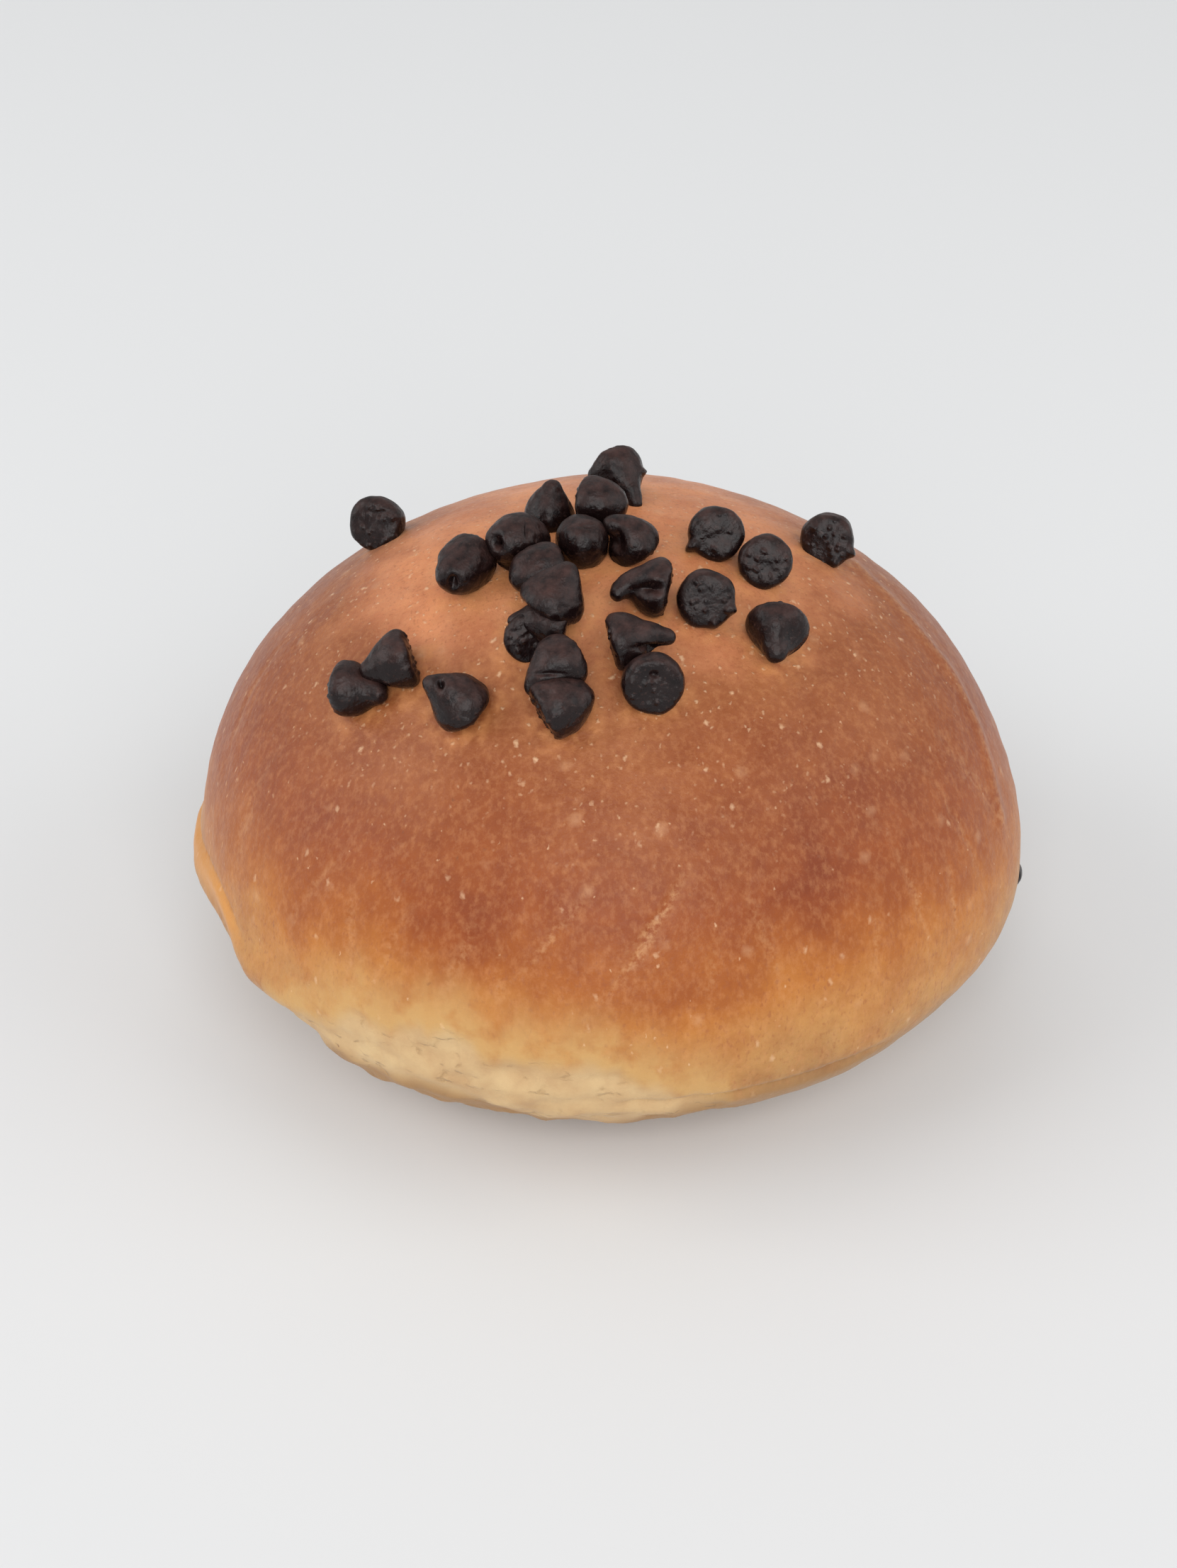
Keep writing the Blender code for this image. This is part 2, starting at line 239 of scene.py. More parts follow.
def copy_of(node, name):
    """A new object with its own joined-up copy of a CAD node's mesh."""
    bpy.ops.object.select_all(action="DESELECT")
    made = bpy.data.objects.new(name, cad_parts[node].data.copy())
    bpy.context.collection.objects.link(made)
    made.matrix_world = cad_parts[node].matrix_world
    bpy.context.view_layer.objects.active = made
    made.select_set(True)
    bpy.ops.object.mode_set(mode="EDIT")
    bpy.ops.mesh.select_all(action="SELECT")
    bpy.ops.mesh.remove_doubles(threshold=0.01 * MM)
    bpy.ops.mesh.tris_convert_to_quads()
    bpy.ops.object.mode_set(mode="OBJECT")
    return made


def applied(obj, modifier_type, **settings):
    """Adds a modifier to the active object and applies it."""
    step = obj.modifiers.new(modifier_type.lower(), modifier_type)
    for setting, value in settings.items():
        setattr(step, setting, value)
    bpy.ops.object.modifier_apply(modifier=step.name)


def raised(obj, relief):
    """Moves each point of a mesh along its normal by what relief says."""
    moved = []
    for vertex in obj.data.vertices:
        place = vertex.co + vertex.normal * relief(vertex.co)
        moved.extend(place)
    obj.data.vertices.foreach_set("co", moved)
    obj.data.update()


def flank_creases(bearing, height):
    """How deep the creases cut at a place on the flank."""
    depth = 0.0
    for middle, level, half_width, half_height, deepest, lean in CREASES:
        along = (height - level) / half_height
        if abs(along) < CREASE_END:
            wave = noise.noise(Vector((middle, 0.0, height / CREASE_SWAY_SIZE)))
            aside = turn_between(bearing, middle + lean * (level - height) / MM)
            aside += CREASE_SWAY * half_width * wave
            if abs(aside) < CREASE_SIDE * half_width:
                depth += deepest * hump(aside, 0.0, half_width) * math.exp(-along * along)
    return depth


def on_fold(place):
    """1 on the shoulder's fold, fading out to 0 on both sides of it."""
    if place.x < FOLD_SIDE:
        return 0.0
    near = 1.0
    for start, end in zip(FOLD, FOLD[1:]):
        start, end = Vector(start) * MM, Vector(end) * MM
        _, share = geometry.intersect_point_line(place, start, end)
        near = min(near, (place - start.lerp(end, min(1.0, max(0.0, share)))).length)
    return hump(near, 0.0, FOLD_HALF)


def within(value, stretch):
    """1 inside a stretch of bearings or heights, fading out to 0 over its ends."""
    start, full, fade, end = stretch
    return ease(value, start, full) * (1.0 - ease(value, fade, end))


def bearing_of(place):
    """The direction of a place from the bun's axis, in degrees from +X towards +Y."""
    return math.degrees(math.atan2(place.y, place.x)) % 360.0


def band_edge(place):
    """The height of the pale band's upper edge over a place."""
    bearing = bearing_of(place)
    for (start, low), (end, high) in zip(BAND_EDGE, BAND_EDGE[1:]):
        if start <= bearing <= end:
            edge = low + (high - low) * ease(bearing, start, end)
    around = Vector((place.x, place.y, 0.0)) / BAND_WANDER_SIZE
    return edge + BAND_WANDER * (noise.noise(around) + BAND_RIPPLE * noise.noise(around * BAND_RIPPLE_RATE))


def paleness(place):
    """1 on the pale torn band and 0 on the browned skin above it."""
    edge = band_edge(place) if place.z < BAND_CEILING else 0.0
    return 1.0 - ease(place.z, edge - BAND_BLUR, edge + BAND_BLUR)


def glow(place):
    """1 at the pale band's edge, fading out up the browned skin above it."""
    edge = band_edge(place) if place.z < GLOW_CEILING else 0.0
    if edge < GLOW_LEAST:
        return 0.0
    return 1.0 - ease(place.z, edge - GLOW_START, edge + GLOW_HEIGHT)


def rim_and_tuck_shade(place):
    """1 on the darker rim along the tray, which the chin breaks: browned where it sat on the tray, and
    darker as painted shade where the bun tucks under.
    """
    top = RIM_TOP + RIM_BLUR * noise.noise(place / BAND_WANDER_SIZE)
    top -= CHIN_DIP * hump(turn_between(bearing_of(place), CHIN), 0.0, CHIN_HALF)
    return 1.0 - ease(place.z, top - RIM_BLUR, top + RIM_BLUR)


def ledge_top(bearing):
    """The height of the groove along the ledge."""
    return LEDGE_TOP + LEDGE_RISE * hump(bearing, LEDGE_MIDDLE, LEDGE_SPREAD)


def ledge_relief(bearing, height):
    """The groove along the top of the ledge, and the tuck of the dough under it."""
    along = within(bearing, LEDGE_BEARINGS)
    under = ledge_top(bearing) - height
    groove = LEDGE_GROOVE * hump(under, 0.0, LEDGE_GROOVE_HALF)
    tuck = LEDGE_TUCK * ease(bearing, *TUCK_BEARINGS) * ease(under, *TUCK_DROP)
    return -along * (groove + tuck)


def foot_relief(bearing, height):
    """How far the foot stands out, with its corner at the front left."""
    corner = FOOT_CORNER_REACH * hump(bearing, FOOT_CORNER, FOOT_CORNER_HALF)
    return within(height, FOOT_LEVELS) * within(bearing, FOOT_BEARINGS) * (FOOT_REACH + corner)


def skin_relief(place):
    """How far the finished skin stands out from the plain dome."""
    if place.z < UNDERSIDE:
        return 0.0
    bearing = bearing_of(place)
    flank = ease(place.z, *SWELL_FADE)
    relief = SWELL * noise.noise(place / SWELL_SIZE) * flank
    relief += PUCKER * noise.noise(place / PUCKER_SIZE) * flank
    relief += FOLD_RISE * on_fold(place) - flank_creases(bearing, place.z)
    relief += ledge_relief(bearing, place.z) + foot_relief(bearing, place.z)
    relief -= SLAB_DEPTH * within(bearing, SLAB_BEARINGS) * hump(place.z, SLAB_LEVEL, SLAB_HALF)
    pale = paleness(place)
    if pale > 0.0:
        grain = Vector((place.x, place.y, TORN_SQUASH * place.z)) / TORN_GRAIN
        crags = noise.noise(grain) + TORN_FINE * noise.noise(grain * TORN_FINE_RATE)
        crags -= TORN_RIDGE * abs(noise.noise(grain * TORN_RIDGE_RATE))
        relief += (TORN_DEPTH * crags - LIP_DEPTH) * pale * ease(place.z, *TORN_FADE)
    return relief


bun = copy_of("bun", "bun_crust")
applied(bun, "SUBSURF", levels=2, render_levels=2)
applied(bun, "REMESH", mode="VOXEL", voxel_size=SKIN_VOXEL)
applied(bun, "SMOOTH", factor=0.5, iterations=8)
bpy.ops.object.shade_smooth()
raised(bun, skin_relief)

# The colours of the crust, from the tray to the crown, at shares of the bun's height. The stops at the
# crown are lighter partly from the bake and partly as painted light against the shade between the drops.
BAKE_AND_CROWN_LIGHT_STOPS = (
    (0.05, (0.24, 0.11, 0.036)),
    (0.16, (0.27, 0.125, 0.042)),
    (0.23, (0.42, 0.216, 0.071)),
    (0.32, (0.515, 0.240, 0.066)),
    (0.42, (0.466, 0.161, 0.025)),
    (0.49, (0.374, 0.102, 0.0115)),
    (0.58, (0.300, 0.066, 0.0075)),
    (0.70, (0.288, 0.069, 0.0115)),
    (0.84, (0.34, 0.106, 0.0324)),
    (0.93, (0.608, 0.230, 0.100)),
    (1.00, (0.80, 0.31, 0.125)),
)
PALE_DOUGH = (0.62, 0.435, 0.225, 1.0)
PALE_SHADE = (0.49, 0.30, 0.145, 1.0)
# Browned where the bun sat on the tray, and darker as painted shade where it tucks under.
RIM_BROWN_AND_SHADE = (0.33, 0.178, 0.070, 1.0)
BRIGHT = (0.86, 0.56, 0.33, 1.0)
SCORCH = (0.76, 0.60, 0.60, 1.0)
BLOTCH = (0.68, 0.48, 0.36, 1.0)
STIPPLE = (0.66, 0.30, 0.12, 1.0)
PORE = (0.28, 0.075, 0.025, 1.0)
GOLD = (0.57, 0.333, 0.119, 1.0)
RING_ORANGE = (0.72, 0.30, 0.105, 1.0)
# Paler crust in the creases, and a painted highlight along the shoulder's fold.
CREASE_PALE_AND_FOLD_HIGHLIGHT = (0.62, 0.32, 0.14, 1.0)
LEDGE_ORANGE = (0.66, 0.285, 0.06, 1.0)
BLISTER = (0.74, 0.42, 0.22, 1.0)
CRACK = (0.30, 0.16, 0.06, 1.0)
PIT = (0.16, 0.05, 0.02, 1.0)
SHEEN_TINT = (1.0, 0.86, 0.78, 1.0)
BUN_HEIGHT, BAKE_WANDER = 62.0 * MM, 9.0 * MM

# The cloudy patterns of the crust: the size of the clouds, their detail and roughness, and from
# which level to which of the noise they come up, and how far.
BAKE_CLOUDS = (15.0 * MM, 4.0, 0.50, 0.25, 0.75, BAKE_WANDER)
SCORCH_CLOUDS = (4.0 * MM, 4.0, 0.50, 0.20, 0.62, 1.0)
BLOTCH_CLOUDS = (5.0 * MM, 5.0, 0.62, 0.40, 0.62, 1.0)
STIPPLE_CLOUDS = (0.75 * MM, 4.0, 0.65, 0.46, 0.72, 0.26)
PORE_CLOUDS = (0.40 * MM, 2.0, 0.50, 0.44, 0.28, 0.40)
GOLD_CLOUDS = (3.0 * MM, 3.0, 0.50, 0.20, 0.56, 1.0)
RING_CLOUDS = (2.2 * MM, 3.0, 0.50, 0.40, 0.65, 0.55)
FRAYED_CLOUDS = (0.7 * MM, 3.0, 0.60, 0.42, 0.62, 0.60)
CRUMB_CLOUDS = (3.6 * MM, 4.0, 0.55, 0.25, 0.70, 1.0)
TORN_CLOUDS = (2.6 * MM, 2.0, 0.50, 0.54, 0.64, 1.0)
GRAIN_CLOUDS = (0.9 * MM, 5.0, 0.65)

# The round marks: the cell that holds one, its radius, its soft edge, and the share of cells with
# one. Then how strongly each mark shows, and how far it stands out in shares of the grain.
BLISTERS = (4.6 * MM, 0.20 * MM, 0.80 * MM, 0.55)
FLECKS = (2.6 * MM, 0.12 * MM, 0.26 * MM, 0.55)
SPECKS = (1.3 * MM, 0.04 * MM, 0.13 * MM, 0.25)
CROWN_SPECKS = (0.95 * MM, 0.07 * MM, 0.17 * MM, 0.50)
PITS = (2.8 * MM, 0.05 * MM, 0.17 * MM, 0.40)
SPOT_FADE = 0.02
CROWN_LEVELS = (38.0 * MM, 54.0 * MM)
SCORCH_SHARE, BLOTCH_SHARE, LEDGE_SHARE = 0.80, 0.50, 0.80
BLISTER_SHARE, SPECK_SHARE, CROWN_SPECK_SHARE, PIT_SHARE = 0.26, 0.50, 0.52, 0.55
FLECK_SHARE, FLECK_CROWN_SHARE = 0.35, 0.25
CRACK_SHARE, CRACK_CELL, CRACK_HALF, RIM_AND_SHADE_SHARE = 0.34, 2.4 * MM, 0.09, 0.92
SHAKE, SHAKE_SIZE = 0.9 * MM, 0.8 * MM
UPRIGHT, TALL, FLAT = (1.0, 1.0, 0.55), (1.0, 1.0, 0.6), (0.5, 0.5, 1.3)
SPECK_RISE, FLECK_RISE, MARK_RISE, CROWN_SPECK_RISE, CRACK_RISE = 0.5, 0.6, 0.5, 0.5, -0.9
GRAIN_DEPTH = 0.13 * MM
CRUST_ROUGHNESS, PALE_ROUGHER, ROUGH_GRAIN = 0.38, 0.30, (0.3, 0.7, 0.14)
CRUST_SHINE, SHEEN, SHEEN_ROUGHNESS = 0.34, 0.11, 0.45


def marked(obj, name, amount):
    """Stores an amount from 0 to 1 for each point of a mesh, for its material to read."""
    values = [amount(vertex.co) for vertex in obj.data.vertices]
    obj.data.attributes.new(name, "FLOAT", "POINT").data.foreach_set("value", values)


def crease_pale_and_fold_highlight(place):
    """1 in a deep crease, where the crust is paler, and on the shoulder's fold, where a paler highlight is
    painted.
    """
    creased = flank_creases(bearing_of(place), place.z) / CREASE_PALEST
    return min(1.0, creased + FOLD_PAINTED_HIGHLIGHT * on_fold(place) ** 3)


def scorching(place):
    """1 in the middle of a darker patch, fading out to 0 around it."""
    bearing = bearing_of(place)
    patches = 0.0
    for middle, level, half_width, half_height in SCORCHES:
        patches += hump(turn_between(bearing, middle), 0.0, half_width) * hump(place.z, level, half_height)
    return min(1.0, patches)


def on_ledge(place):
    """1 on the bright face of the ledge, under its groove."""
    bearing = bearing_of(place)
    return within(bearing, LEDGE_BEARINGS) * within(ledge_top(bearing) - place.z, LEDGE_FACE)


marked(bun, "paleness", paleness)
marked(bun, "crease_pale_and_fold_highlight", crease_pale_and_fold_highlight)
marked(bun, "scorching", scorching)
marked(bun, "glow", glow)
marked(bun, "rim_and_tuck_shade", rim_and_tuck_shade)
marked(bun, "ledge", on_ledge)


def wire(tree, kind, inputs=(), **settings):
    """Adds a shader node and feeds its inputs with values or with other nodes' outputs."""
    node = tree.nodes.new(kind)
    for setting, value in settings.items():
        setattr(node, setting, value)
    for key, value in dict(inputs).items():
        if isinstance(value, bpy.types.NodeSocket):
            tree.links.new(value, node.inputs[key])
        else:
            node.inputs[key].default_value = value
    return node


def painted(tree, share, under, over, mode="MIX"):
    """The colour that comes of laying one colour over another, by a share."""
    mix = wire(tree, "ShaderNodeMix", {0: share, 6: under, 7: over}, data_type="RGBA", blend_type=mode)
    return mix.outputs[2]


def mottle(tree, place, size, detail=3.0, roughness=0.5):
    """A cloudy pattern from 0 to 1, of a size in metres."""
    inputs = {"Vector": place, "Scale": 1.0 / size, "Detail": detail, "Roughness": roughness}
    return wire(tree, "ShaderNodeTexNoise", inputs).outputs["Fac"]


def between(tree, value, low, high, top=1.0):
    """A value mapped from low and high to 0 and top, and held between them."""
    inputs = {"Value": value, "From Min": low, "From Max": high, "To Max": top}
    return wire(tree, "ShaderNodeMapRange", inputs).outputs[0]


def clouds(tree, place, size, detail, roughness, low, high, top):
    """A cloudy pattern that comes up from 0 to top between two levels of its noise."""
    return between(tree, mottle(tree, place, size, detail, roughness), low, high, top)


def product(tree, one, other):
    return wire(tree, "ShaderNodeMath", {0: one, 1: other}, operation="MULTIPLY").outputs[0]


def total(tree, one, other):
    return wire(tree, "ShaderNodeMath", {0: one, 1: other}, operation="ADD").outputs[0]


def reading(tree, name):
    """The amount that marked has stored under a name."""
    return wire(tree, "ShaderNodeAttribute", attribute_name=name).outputs["Fac"]


def spots(tree, place, cell, radius, edge, share):
    """Round spots scattered one to a cell, of a radius in metres, kept in a share of the cells."""
    inputs = {"Vector": place, "Scale": 1.0 / cell}
    cells = wire(tree, "ShaderNodeTexVoronoi", inputs)
    inside = between(tree, cells.outputs["Distance"], (radius + edge) / cell, radius / cell)
    kept = wire(tree, "ShaderNodeSeparateColor", {0: cells.outputs["Color"]}).outputs[0]
    return product(tree, inside, between(tree, kept, share, share - SPOT_FADE))


def new_material(name):
    """A new material, with its node tree, its shader and the place on the object that it paints."""
    made = bpy.data.materials.new(name)
    made.use_nodes = True
    place = wire(made.node_tree, "ShaderNodeTexCoord").outputs["Object"]
    return made, made.node_tree, made.node_tree.nodes["Principled BSDF"], place


def feed_shader(tree, shader, **sockets):
    """Links outputs to a shader's sockets, named with _ for a space."""
    for key, value in sockets.items():
        tree.links.new(value, shader.inputs[key.replace("_", " ")])


crust, tree, shader, place = new_material("crust")
height = wire(tree, "ShaderNodeSeparateXYZ", {0: place}).outputs["Z"]
wander = clouds(tree, place, *BAKE_CLOUDS)
level = between(tree, total(tree, height, wander), BAKE_WANDER / 2, BUN_HEIGHT + BAKE_WANDER / 2)
ramp = wire(tree, "ShaderNodeValToRGB", {0: level})
ends = ramp.color_ramp.elements
ends[0].position, ends[0].color = BAKE_AND_CROWN_LIGHT_STOPS[0][0], (*BAKE_AND_CROWN_LIGHT_STOPS[0][1], 1.0)
ends[1].position, ends[1].color = BAKE_AND_CROWN_LIGHT_STOPS[-1][0], (*BAKE_AND_CROWN_LIGHT_STOPS[-1][1], 1.0)
for stop, baked in BAKE_AND_CROWN_LIGHT_STOPS[1:-1]:
    ends.new(stop).color = (*baked, 1.0)
colour = ramp.outputs[0]

# Darker patches, blotches, fine stipple, paler creases and a painted highlight along the shoulder's fold,
# the ledge, and the yellower ring round each drop.
burnt = product(tree, reading(tree, "scorching"), clouds(tree, place, *SCORCH_CLOUDS))
colour = painted(tree, product(tree, burnt, SCORCH_SHARE), colour, SCORCH, "MULTIPLY")
blotches = clouds(tree, place, *BLOTCH_CLOUDS)
colour = painted(tree, product(tree, blotches, BLOTCH_SHARE), colour, BLOTCH, "MULTIPLY")
upright = wire(tree, "ShaderNodeMapping", {"Vector": place, "Scale": UPRIGHT}).outputs[0]
colour = painted(tree, clouds(tree, upright, *STIPPLE_CLOUDS), colour, STIPPLE)
colour = painted(tree, clouds(tree, upright, *PORE_CLOUDS), colour, PORE)
gilded = clouds(tree, place, *GOLD_CLOUDS)
colour = painted(tree, product(tree, reading(tree, "glow"), gilded), colour, GOLD)
ring = clouds(tree, place, *RING_CLOUDS)
colour = painted(tree, product(tree, reading(tree, "beside_drop"), ring), colour, RING_ORANGE)
frayed = clouds(tree, place, *FRAYED_CLOUDS)
colour = painted(tree, product(tree, reading(tree, "crease_pale_and_fold_highlight"), frayed), colour, CREASE_PALE_AND_FOLD_HIGHLIGHT)
colour = painted(tree, product(tree, reading(tree, "ledge"), LEDGE_SHARE), colour, LEDGE_ORANGE)
# Pale blisters and bright flecks in the skin, none of them quite round.
shake = wire(tree, "ShaderNodeTexNoise", {"Vector": place, "Scale": 1.0 / SHAKE_SIZE, "Detail": 2.0})
reach = {0: shake.outputs["Color"], 1: (SHAKE,) * 3}
shaken = wire(tree, "ShaderNodeVectorMath", reach, operation="MULTIPLY")
uneven = wire(tree, "ShaderNodeVectorMath", {0: place, 1: shaken.outputs[0]}, operation="ADD").outputs[0]
stretched = wire(tree, "ShaderNodeMapping", {"Vector": uneven, "Scale": TALL}).outputs[0]
blisters = spots(tree, uneven, *BLISTERS)
colour = painted(tree, product(tree, blisters, BLISTER_SHARE), colour, BLISTER)
crowning = between(tree, height, *CROWN_LEVELS)
flecks = spots(tree, stretched, *FLECKS)
fleck_share = total(tree, product(tree, crowning, FLECK_CROWN_SHARE), FLECK_SHARE)
colour = painted(tree, product(tree, flecks, fleck_share), colour, BRIGHT)
specks = spots(tree, stretched, *SPECKS)
colour = painted(tree, product(tree, specks, SPECK_SHARE), colour, BRIGHT)
crown_specks = product(tree, spots(tree, uneven, *CROWN_SPECKS), crowning)
colour = painted(tree, product(tree, crown_specks, CROWN_SPECK_SHARE), colour, BRIGHT)
# The pale torn band with its fine cracks, the rim under it, browned and partly in painted shade, and dark
# pits all over.
dough = painted(tree, clouds(tree, place, *CRUMB_CLOUDS), PALE_SHADE, PALE_DOUGH)
level_band = wire(tree, "ShaderNodeMapping", {"Vector": uneven, "Scale": FLAT}).outputs[0]
cells = {"Vector": level_band, "Scale": 1.0 / CRACK_CELL}
folds = wire(tree, "ShaderNodeTexVoronoi", cells, feature="DISTANCE_TO_EDGE").outputs["Distance"]
torn = product(tree, clouds(tree, place, *TORN_CLOUDS), reading(tree, "paleness"))
cracks = product(tree, between(tree, folds, CRACK_HALF, 0.0), torn)
dough = painted(tree, product(tree, cracks, CRACK_SHARE), dough, CRACK)
colour = painted(tree, reading(tree, "paleness"), colour, dough)
colour = painted(tree, product(tree, reading(tree, "rim_and_tuck_shade"), RIM_AND_SHADE_SHARE), colour, RIM_BROWN_AND_SHADE)
pits = product(tree, spots(tree, stretched, *PITS), PIT_SHARE)
colour = painted(tree, pits, colour, PIT)

# The grain of the skin, from which the marks stand out and into which the cracks go down.
fine = mottle(tree, place, *GRAIN_CLOUDS)
marks = total(tree, product(tree, specks, SPECK_RISE), blisters)
marks = total(tree, marks, product(tree, flecks, FLECK_RISE))
texture = total(tree, fine, product(tree, marks, MARK_RISE))
texture = total(tree, texture, product(tree, crown_specks, CROWN_SPECK_RISE))
texture = total(tree, texture, product(tree, cracks, CRACK_RISE))
grain = wire(tree, "ShaderNodeBump", {"Height": texture, "Distance": GRAIN_DEPTH})
dull = product(tree, reading(tree, "paleness"), PALE_ROUGHER)
dull = total(tree, dull, between(tree, fine, *ROUGH_GRAIN))
rough = total(tree, dull, CRUST_ROUGHNESS)
feed_shader(tree, shader, Base_Color=colour, Roughness=rough, Normal=grain.outputs[0])
shader.inputs["Specular IOR Level"].default_value = CRUST_SHINE
shader.inputs["Sheen Weight"].default_value = SHEEN
shader.inputs["Sheen Roughness"].default_value = SHEEN_ROUGHNESS
shader.inputs["Sheen Tint"].default_value = SHEEN_TINT
bun.data.materials.clear()
bun.data.materials.append(crust)

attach(bun, "root")
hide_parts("bun")

# ---------------------------------------------------------------------------------------------
# The drops: dark chocolate, piped as small cones whose tips curled over as they set. They were
# scattered before baking, so that each has sunk a little into the crust.
# ---------------------------------------------------------------------------------------------
# How far up each ring of a drop is, and how wide the ring is on a blunt, pointed or beaked drop, in
# shares of the drop's height and radius.
RING_RISE = (0.00, 0.01, 0.09, 0.20, 0.34, 0.48, 0.61, 0.72, 0.82, 0.91, 0.97)
BLUNT = (0.52, 0.86, 1.00, 1.03, 1.02, 0.97, 0.88, 0.76, 0.61, 0.42, 0.22)
POINTED = (0.52, 0.86, 1.00, 1.02, 0.96, 0.83, 0.66, 0.51, 0.39, 0.29, 0.17)
BEAKED = (0.52, 0.86, 1.00, 1.00, 0.88, 0.66, 0.47, 0.37, 0.31, 0.25, 0.15)
DROP_SIDES = 20
DROP_VOXEL = 0.17 * MM
CURL_START = 0.35
FOOT_INSET = 0.28
DROP_SINK = 1.1 * MM
RING_INSIDE, RING_OUTSIDE, LOWEST_RING = 3.0 * MM, 6.5 * MM, 12.0 * MM
SEED_STEP = 3.1
LUMP, LUMP_SIZE = 0.24 * MM, 2.5 * MM
BUMP, BUMP_SIZE = 0.07 * MM, 0.90 * MM
FOOT_BUMP, FOOT_BUMP_SIZE, FOOT_BUMP_STEEPNESS = 0.24 * MM, 0.95 * MM, 8.0
FOOT_HEIGHT, FOOT_BUMPS_END = 0.15, (0.75, 0.98)  # in shares of the drop's radius

# Each drop: its spot on the crust from above (x, y, mm), or near the crust at the side (x, y, z);
# its lift off the crust (mm); the bearing and elevation of its tip; what the tip curls towards and
# how far; its radius and height (mm); its shape. Angles are in degrees.
DROPS = (
    ((-27.4, 12.4), -0.1, (75, -20), (0, -90), 20, 3.4, 5.6, BLUNT),
    ((-16.1, -8.6), 0.2, (248, -8), (190, 20), 55, 3.2, 7.2, BLUNT),
    ((-10.4, -6.4), 0.0, (235, 30), (250, -90), 60, 3.5, 6.6, BLUNT),
    ((-7.0, 1.6), 0.0, (90, 85), (0, 0), 15, 3.1, 6.0, POINTED),
    ((-1.1, -0.1), 0.3, (340, 5), (0, -90), 10, 3.3, 5.6, BLUNT),
    ((1.2, 8.4), 0.1, (300, -18), (290, -60), 25, 3.6, 7.6, BEAKED),
    ((-3.3, -6.9), 0.0, (268, 32), (0, 90), 15, 3.1, 5.8, BLUNT),
    ((2.0, -6.0), 0.0, (185, 60), (185, -20), 50, 3.1, 6.2, POINTED),
    ((-8.0, -11.7), 0.0, (210, 10), (225, -90), 40, 3.2, 6.0, BLUNT),
    ((-5.6, -16.1), 1.4, (20, 62), (0, 0), 0, 3.7, 6.3, POINTED),
    ((-7.2, -18.3), 0.3, (172, 18), (180, -90), 40, 2.6, 6.8, POINTED),
    ((-9.1, -19.0), -0.3, (100, -20), (90, 90), 0, 2.8, 3.8, BLUNT),
    ((-5.9, -24.0), 1.0, (222, -6), (240, -90), 50, 3.3, 6.8, POINTED),
    ((-5.3, -27.3), 0.0, (20, 22), (0, 90), 15, 3.4, 6.2, BLUNT),
    ((-16.4, -24.7), 0.0, (187, 50), (155, 10), 42, 3.4, 6.8, POINTED),
    ((-27.7, -18.5), 0.0, (350, 5), (270, 0), 50, 3.3, 7.0, POINTED),
    ((-23.3, -18.0), 0.0, (190, -15), (190, -90), 0, 3.4, 6.2, POINTED),
    ((3.8, -13.9), 0.0, (177, 10), (262, -30), 60, 3.5, 7.2, BEAKED),
    ((2.0, -20.9), 0.3, (7, 14), (0, -90), 30, 3.3, 7.4, BEAKED),
    ((4.1, -24.8), 0.0, (95, -8), (0, 90), 15, 3.4, 5.4, BLUNT),
    ((11.8, -2.8), 0.0, (90, -24), (0, -90), 0, 3.2, 5.4, BLUNT),
    ((17.2, -5.7), 0.0, (90, -24), (0, -90), 0, 3.1, 5.4, BLUNT),
    ((10.1, -13.7), 0.0, (92, -18), (0, -90), 0, 3.3, 5.6, BLUNT),
    ((17.7, -16.4), 0.0, (262, -22), (0, -90), 0, 3.6, 6.0, POINTED),
    ((25.2, 4.2), 0.0, (80, -18), (0, -90), 20, 3.2, 5.6, BLUNT),
    ((50.0, -4.0, 15.0), -3.2, (60, -10), (60, -90), 30, 2.9, 5.4, POINTED),
    ((-13.0, 41.5), 0.0, (100, 0), (90, -90), 20, 3.3, 5.8, BLUNT),
    ((9.5, 40.5), 0.0, (60, 40), (0, 0), 35, 3.4, 6.2, POINTED),
    ((29.0, 35.5), 0.0, (250, 10), (0, 90), 10, 3.3, 5.6, BLUNT),
    ((-33.0, 33.0), 0.0, (150, 20), (180, -60), 45, 3.4, 6.4, BEAKED),
    ((-1.5, 44.5), 0.0, (270, 20), (0, 0), 20, 3.2, 5.6, BLUNT),
)


def heading(bearing, elevation):
    """The unit vector that points along a bearing and an elevation."""
    turn, rise = math.radians(bearing), math.radians(elevation)
    return Vector((math.cos(rise) * math.cos(turn), math.cos(rise) * math.sin(turn), math.sin(rise)))


